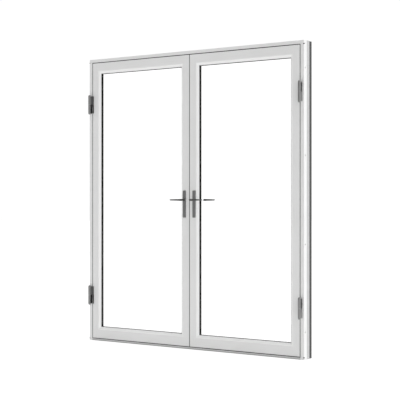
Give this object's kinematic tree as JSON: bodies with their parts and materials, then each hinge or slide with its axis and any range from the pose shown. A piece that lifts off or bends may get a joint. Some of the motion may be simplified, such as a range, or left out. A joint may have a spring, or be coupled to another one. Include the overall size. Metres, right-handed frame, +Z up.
{
  "type": "double swing door",
  "caption": "Side-hung glazed French door in its frame, white timber inside and dark cladding outside, with lever handles, rack-driven bolts and barrel hinges.",
  "frame": {"origin": "underside of the threshold, at mid width and mid depth of the frame", "axes": "+X to the right as seen from the room, +Y outwards through the wall, +Z up"},
  "size_m": [1.98, 0.161, 2.08],
  "materials": {
    "painted_timber": "white satin paint",
    "core_composite": "matt light grey insulating core",
    "dark_aluminium": "dark grey powder coat",
    "threshold_aluminium": "satin anodised",
    "black_rubber": "matt black",
    "clear_glass": "clear float",
    "spacer_plastic": "matt black",
    "handle_metal": "satin grey",
    "hinge_metal": "satin grey",
    "hardware_steel": "zinc plated"
  },
  "bodies": {
    "frame": {"frame_head": "painted_timber", "frame_left_jamb": "painted_timber", "frame_right_jamb": "painted_timber", "head_core": "core_composite", "left_jamb_core": "core_composite", "right_jamb_core": "core_composite", "head_cladding": "dark_aluminium", "left_jamb_cladding": "dark_aluminium", "right_jamb_cladding": "dark_aluminium", "threshold": "threshold_aluminium", "frame_gaskets": "black_rubber", "bolt_keeps": "hardware_steel", "hinge_pins": "hinge_metal", "left_upper_hinge_frame_half": "hinge_metal", "left_lower_hinge_frame_half": "hinge_metal", "right_upper_hinge_frame_half": "hinge_metal", "right_lower_hinge_frame_half": "hinge_metal"},
    "left_leaf": {"left_hinge_stile": "painted_timber", "left_meeting_stile": "painted_timber", "left_top_rail": "painted_timber", "left_bottom_rail": "painted_timber", "left_leaf_cladding": "dark_aluminium", "left_glazing_beads": "painted_timber", "left_inner_pane": "clear_glass", "left_outer_pane": "clear_glass", "left_glass_spacer": "spacer_plastic", "left_glazing_gaskets": "black_rubber", "left_inside_plate": "handle_metal", "left_outside_plate": "handle_metal", "left_lock_case": "hardware_steel", "left_upper_hinge_leaf_half": "hinge_metal", "left_lower_hinge_leaf_half": "hinge_metal"},
    "right_leaf": {"right_hinge_stile": "painted_timber", "right_meeting_stile": "painted_timber", "right_top_rail": "painted_timber", "right_bottom_rail": "painted_timber", "right_leaf_cladding": "dark_aluminium", "right_glazing_beads": "painted_timber", "right_inner_pane": "clear_glass", "right_outer_pane": "clear_glass", "right_glass_spacer": "spacer_plastic", "right_glazing_gaskets": "black_rubber", "right_inside_plate": "handle_metal", "right_outside_plate": "handle_metal", "right_lock_case": "hardware_steel", "right_upper_hinge_leaf_half": "hinge_metal", "right_lower_hinge_leaf_half": "hinge_metal", "meeting_seal": "black_rubber"},
    "left_handle": {"left_inside_lever": "handle_metal", "left_outside_lever": "handle_metal", "left_spindle": "hardware_steel", "left_pinion": "hardware_steel"},
    "left_upper_bolt": {"left_upper_rod": "hardware_steel"},
    "left_lower_bolt": {"left_lower_rod": "hardware_steel"},
    "right_handle": {"right_inside_lever": "handle_metal", "right_outside_lever": "handle_metal", "right_spindle": "hardware_steel", "right_pinion": "hardware_steel"},
    "right_upper_bolt": {"right_upper_rod": "hardware_steel"},
    "right_lower_bolt": {"right_lower_rod": "hardware_steel"}
  },
  "joints": [
    {"name": "left_leaf_swing", "type": "hinge", "parent": "frame", "child": "left_leaf", "pos_m": [-0.969, -0.065, 1.04], "axis": [0, 0, -1], "range_deg": [0, 110]},
    {"name": "left_handle_turn", "type": "hinge", "parent": "left_leaf", "child": "left_handle", "pos_m": [-0.045, -0.015, 1.04], "axis": [0, -1, 0], "range_deg": [0, 90]},
    {"name": "left_upper_bolt_slide", "type": "slide", "parent": "left_leaf", "child": "left_upper_bolt", "axis": [0, 0, 1], "range_m": [0, 0.011]},
    {"name": "left_lower_bolt_slide", "type": "slide", "parent": "left_leaf", "child": "left_lower_bolt", "axis": [0, 0, -1], "range_m": [0, 0.011]},
    {"name": "right_leaf_swing", "type": "hinge", "parent": "frame", "child": "right_leaf", "pos_m": [0.969, -0.065, 1.04], "axis": [0, 0, 1], "range_deg": [0, 110]},
    {"name": "right_handle_turn", "type": "hinge", "parent": "right_leaf", "child": "right_handle", "pos_m": [0.045, -0.015, 1.04], "axis": [0, 1, 0], "range_deg": [0, 90]},
    {"name": "right_upper_bolt_slide", "type": "slide", "parent": "right_leaf", "child": "right_upper_bolt", "axis": [0, 0, 1], "range_m": [0, 0.011]},
    {"name": "right_lower_bolt_slide", "type": "slide", "parent": "right_leaf", "child": "right_lower_bolt", "axis": [0, 0, -1], "range_m": [0, 0.011]}
  ],
  "couplings": [
    {"joint": "left_upper_bolt_slide", "follows": "left_handle_turn", "m_per_rad": 0.007},
    {"joint": "left_lower_bolt_slide", "follows": "left_handle_turn", "m_per_rad": 0.007},
    {"joint": "right_upper_bolt_slide", "follows": "right_handle_turn", "m_per_rad": 0.007},
    {"joint": "right_lower_bolt_slide", "follows": "right_handle_turn", "m_per_rad": 0.007}
  ]
}
